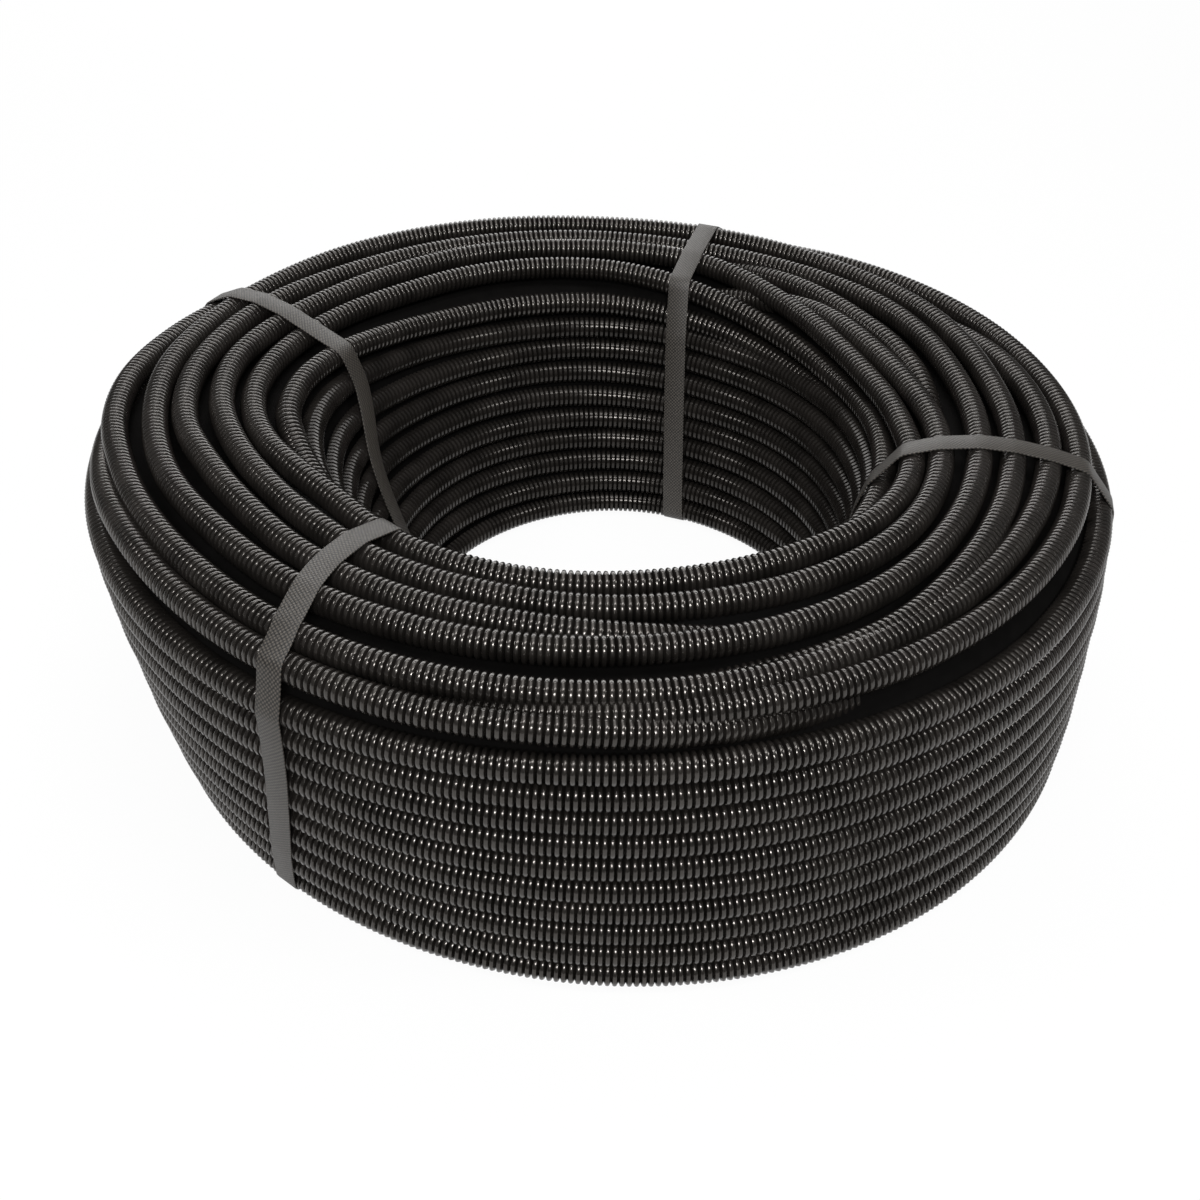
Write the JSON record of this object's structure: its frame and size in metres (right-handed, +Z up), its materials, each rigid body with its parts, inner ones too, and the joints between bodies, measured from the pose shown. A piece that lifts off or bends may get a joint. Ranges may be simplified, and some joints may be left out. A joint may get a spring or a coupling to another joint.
{
  "type": "corrugated conduit coil",
  "caption": "Coil of black corrugated plastic conduit lying flat, its stacked turns tied by flat plastic straps round the section.",
  "frame": {"origin": "on the floor, on the coil's axis, below the centre of its bore", "axes": "+Z up along the coil's axis; the picture looks along +Y, with +X to the right"},
  "size_m": [0.504, 0.504, 0.1564],
  "materials": {
    "conduit_plastic": "satin black",
    "strap_plastic": "embossed, warm dark grey"
  },
  "bodies": {
    "root": {"conduit_coil": "conduit_plastic", "strap_front_left": "strap_plastic", "strap_right": "strap_plastic", "strap_back": "strap_plastic", "strap_back_left": "strap_plastic"}
  },
  "joints": []
}
